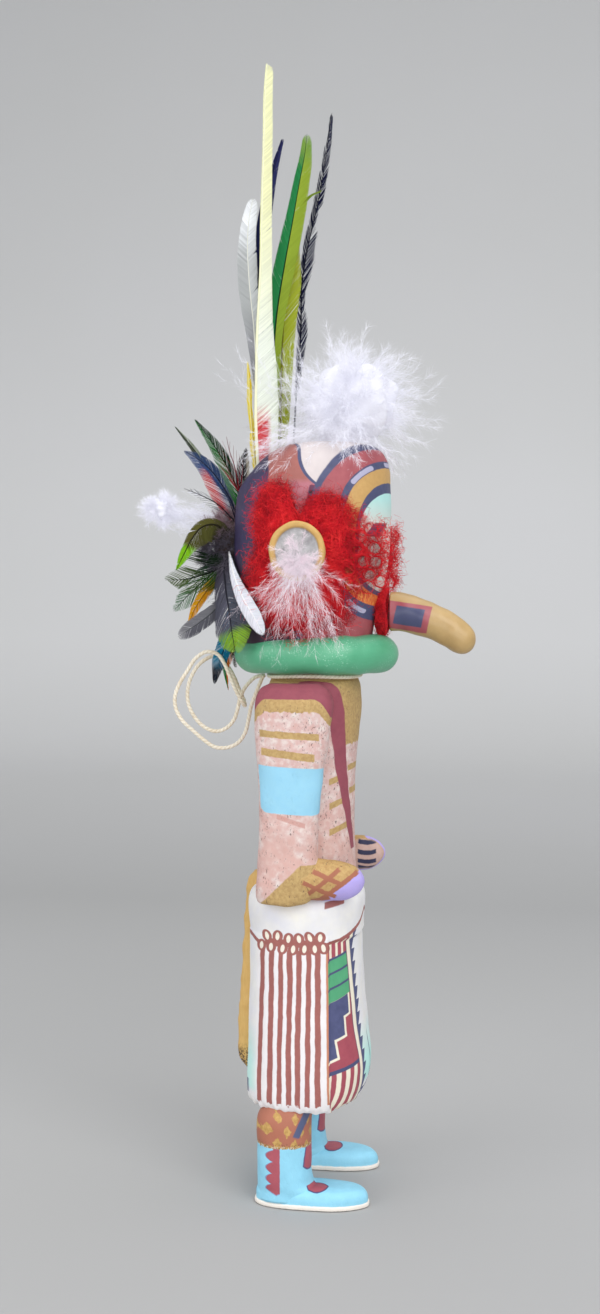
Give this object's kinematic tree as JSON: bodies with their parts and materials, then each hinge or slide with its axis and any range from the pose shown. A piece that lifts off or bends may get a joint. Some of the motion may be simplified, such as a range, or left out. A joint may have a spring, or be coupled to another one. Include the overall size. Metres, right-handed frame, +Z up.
{
  "type": "kachina doll",
  "caption": "Standing carved wooden doll in painted kilt and moccasins, with a helmet mask, curved snout, green ruff, feathers, yarn ears and a cotton cord.",
  "frame": {"origin": "on the floor under the middle of the box that holds the doll, its feathers and its snout, without the hanging cord", "axes": "+Z up, the doll faces -Y and its right hand side is -X"},
  "size_m": [0.0904, 0.1292, 0.417],
  "materials": {
    "painted_cottonwood": "hand-painted matt, worn, with fine cracks",
    "tan_painted_wood": "hand-painted, slightly glossy",
    "ochre_painted_wood": "hand-painted matt, carved recess",
    "red_yarn": "loose unravelled wool yarn",
    "white_down": "soft fluffy bird down",
    "cotton_string": "twisted natural cotton",
    "binding_thread": "wound dark thread",
    "pale_feather": "smooth pale vane with a pale quill",
    "green_feather": "sleek green to lime vane with a dark quill",
    "dark_feather": "dark vane with ragged barbs",
    "coloured_feather": "bright dyed-looking vane with fine barbs"
  },
  "bodies": {
    "root": {"crown_down": "white_down", "crown_feather_black": "dark_feather", "crown_feather_cream": "pale_feather", "crown_feather_green": "green_feather", "crown_feather_grey": "pale_feather", "crown_feather_lime": "green_feather", "crown_feather_navy": "dark_feather", "crown_feather_yellow": "coloured_feather", "ear_down_left": "white_down", "ear_down_right": "white_down", "ear_left": "ochre_painted_wood", "ear_right": "ochre_painted_wood", "ear_wool_left": "red_yarn", "ear_wool_right": "red_yarn", "fan_binding": "binding_thread", "fan_feather_black_upright": "dark_feather", "fan_feather_blue_and_red": "coloured_feather", "fan_feather_dark_barbed": "dark_feather", "fan_feather_dark_small": "dark_feather", "fan_feather_green_barbed": "green_feather", "fan_feather_green_low": "green_feather", "fan_feather_green_upright": "green_feather", "fan_feather_grey_and_lime": "dark_feather", "fan_feather_grey_low": "dark_feather", "fan_feather_olive_drooping": "green_feather", "fan_feather_olive_thin": "green_feather", "fan_feather_orange_and_green": "coloured_feather", "fan_feather_puff_stalk": "pale_feather", "fan_feather_red_wisp": "coloured_feather", "fan_feather_teal_and_black": "coloured_feather", "fan_feather_white_side": "pale_feather", "fan_feather_yellow_low": "coloured_feather", "fan_puff": "white_down", "figure": "painted_cottonwood", "hanging_cord": "cotton_string", "neck_string": "cotton_string", "snout": "tan_painted_wood", "snout_yarn": "red_yarn"}
  },
  "joints": []
}
